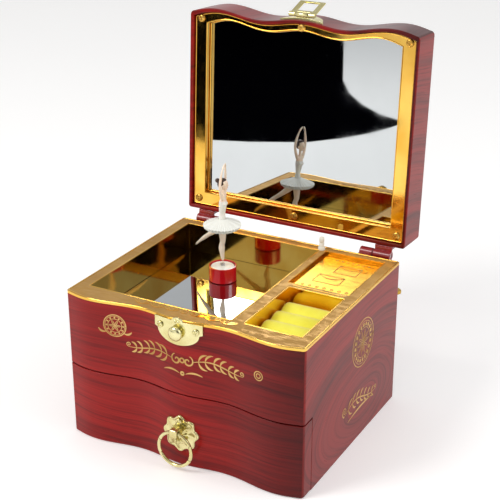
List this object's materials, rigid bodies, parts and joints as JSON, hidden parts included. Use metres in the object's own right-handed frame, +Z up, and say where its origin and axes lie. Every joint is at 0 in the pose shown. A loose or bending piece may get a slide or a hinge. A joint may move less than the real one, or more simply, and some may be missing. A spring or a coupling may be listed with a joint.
{
  "type": "ballerina jewellery box",
  "caption": "Musical jewellery box with serpentine front, hinged mirror lid, turning dancer on a mirrored stage, ring pad and a drawer with a ring pull",
  "frame": {"origin": "centre of the underside of the case, on the surface it stands on", "axes": "+Z up, -Y out of the serpentine front, +X to the right seen from the front"},
  "size_m": [0.15, 0.1759, 0.2326],
  "materials": {
    "red_wood": "wood-grain foil under clear gloss lacquer",
    "raw_board": "plain board",
    "gold_plate": "moulded plastic, metallised gold",
    "mirror": "silvered sheet",
    "ring_foam": "soft flocked foam",
    "pale_brass": "pale bright plating",
    "screw_steel": "plated",
    "gold_screw": "plated",
    "hinge_plastic": "glossy moulded",
    "movement_brass": "plain",
    "movement_steel": "plain",
    "spring_steel": "blued",
    "gear_plastic": "natural",
    "drum_plastic": "glossy moulded",
    "white_plastic": "satin moulded",
    "figure_paint": "painted figure",
    "tutu_net": "thin moulded skirt"
  },
  "bodies": {
    "case": {"front_panel": "red_wood", "back_panel": "red_wood", "left_panel": "red_wood", "right_panel": "red_wood", "base_board": "raw_board", "middle_board": "raw_board", "gold_tray": "gold_plate", "floor_mirror": "mirror", "ring_pad": "ring_foam", "latch_plate": "pale_brass", "latch_knob": "pale_brass", "latch_screw_left": "screw_steel", "latch_screw_right": "screw_steel", "hinge_leaf_left": "hinge_plastic", "hinge_leaf_right": "hinge_plastic", "hinge_pin_left": "screw_steel", "hinge_pin_right": "screw_steel", "movement_bedplate": "movement_brass", "comb": "movement_steel", "comb_screw": "screw_steel", "movement_screw_1": "screw_steel", "movement_screw_2": "screw_steel", "spring_barrel": "movement_brass", "mainspring": "spring_steel", "drive_bracket": "movement_steel", "stop_pin_bush": "white_plastic"},
    "lid": {"lid_shell": "red_wood", "lid_frame": "gold_plate", "lid_mirror": "mirror", "lid_screw_1": "gold_screw", "lid_screw_2": "gold_screw", "lid_screw_3": "gold_screw", "lid_screw_4": "gold_screw", "lid_screw_5": "gold_screw", "lid_screw_6": "gold_screw", "hinge_arm_left": "hinge_plastic", "hinge_arm_right": "hinge_plastic", "hasp_plate": "pale_brass", "hasp_pin": "pale_brass"},
    "hasp": {"hasp": "pale_brass"},
    "drawer": {"drawer_front": "red_wood", "drawer_left": "raw_board", "drawer_right": "raw_board", "drawer_back": "raw_board", "drawer_bottom": "raw_board", "pull_plate": "pale_brass", "pull_screw": "screw_steel"},
    "pull_ring": {"pull_ring": "pale_brass"},
    "stop_pin": {"stop_pin": "white_plastic"},
    "turntable": {"spindle": "gear_plastic", "drum": "drum_plastic", "drum_disc": "white_plastic", "dancer_spring": "screw_steel"},
    "dancer": {"dancer": "figure_paint", "tutu": "tutu_net"},
    "winding": {"main_gear": "movement_brass", "winding_key": "movement_brass"},
    "cylinder": {"cylinder": "movement_brass"},
    "crown_wheel": {"crown_wheel": "gear_plastic"},
    "governor": {"governor_fan": "movement_steel"}
  },
  "joints": [
    {"name": "lid_hinge", "type": "hinge", "parent": "case", "child": "lid", "pos_m": [0, 0.0688, 0.0908], "axis": [1, 0, 0], "range_deg": [0, 93.2]},
    {"name": "hasp_hinge", "type": "hinge", "parent": "lid", "child": "hasp", "pos_m": [0, 0.07924, 0.22743], "axis": [1, 0, 0], "range_deg": [0, 159]},
    {"name": "drawer_slide", "type": "slide", "parent": "case", "child": "drawer", "axis": [0, -1, 0], "range_m": [0, 0.085]},
    {"name": "ring_swing", "type": "hinge", "parent": "drawer", "child": "pull_ring", "pos_m": [0, -0.0716, 0.0243], "axis": [-1, 0, 0], "range_deg": [-8, 110]},
    {"name": "stop_pin_slide", "type": "slide", "parent": "case", "child": "stop_pin", "axis": [0, 0, -1], "range_m": [0, 0.0063]},
    {"name": "turntable_spin", "type": "hinge", "parent": "case", "child": "turntable", "pos_m": [-0.025, 0.0265, 0.06], "axis": [0, 0, 1], "continuous": true},
    {"name": "dancer_fold", "type": "hinge", "parent": "turntable", "child": "dancer", "pos_m": [-0.025, 0.0265, 0.0842], "axis": [0.9553, -0.2957, 0], "range_deg": [0, 88], "deforming": ["dancer_spring"]},
    {"name": "winding_spin", "type": "hinge", "parent": "case", "child": "winding", "pos_m": [0.06, 0.0486, 0.064], "axis": [0, 1, 0], "continuous": true},
    {"name": "cylinder_spin", "type": "hinge", "parent": "case", "child": "cylinder", "pos_m": [0.04, 0.04525, 0.064], "axis": [1, 0, 0], "continuous": true},
    {"name": "crown_wheel_spin", "type": "hinge", "parent": "case", "child": "crown_wheel", "pos_m": [-0.025, 0.04525, 0.055], "axis": [0, 0, 1], "continuous": true},
    {"name": "governor_spin", "type": "hinge", "parent": "case", "child": "governor", "pos_m": [0.03, 0.04962, 0.07158], "axis": [1, 0, 0], "continuous": true}
  ],
  "couplings": [
    {"joint": "stop_pin_slide", "follows": "lid_hinge", "m_per_rad": 0.00387},
    {"joint": "dancer_fold", "follows": "lid_hinge", "ratio": 0.944},
    {"joint": "cylinder_spin", "follows": "winding_spin", "ratio": 3},
    {"joint": "crown_wheel_spin", "follows": "winding_spin", "ratio": 2},
    {"joint": "turntable_spin", "follows": "winding_spin", "ratio": -4},
    {"joint": "governor_spin", "follows": "winding_spin", "ratio": -12}
  ]
}
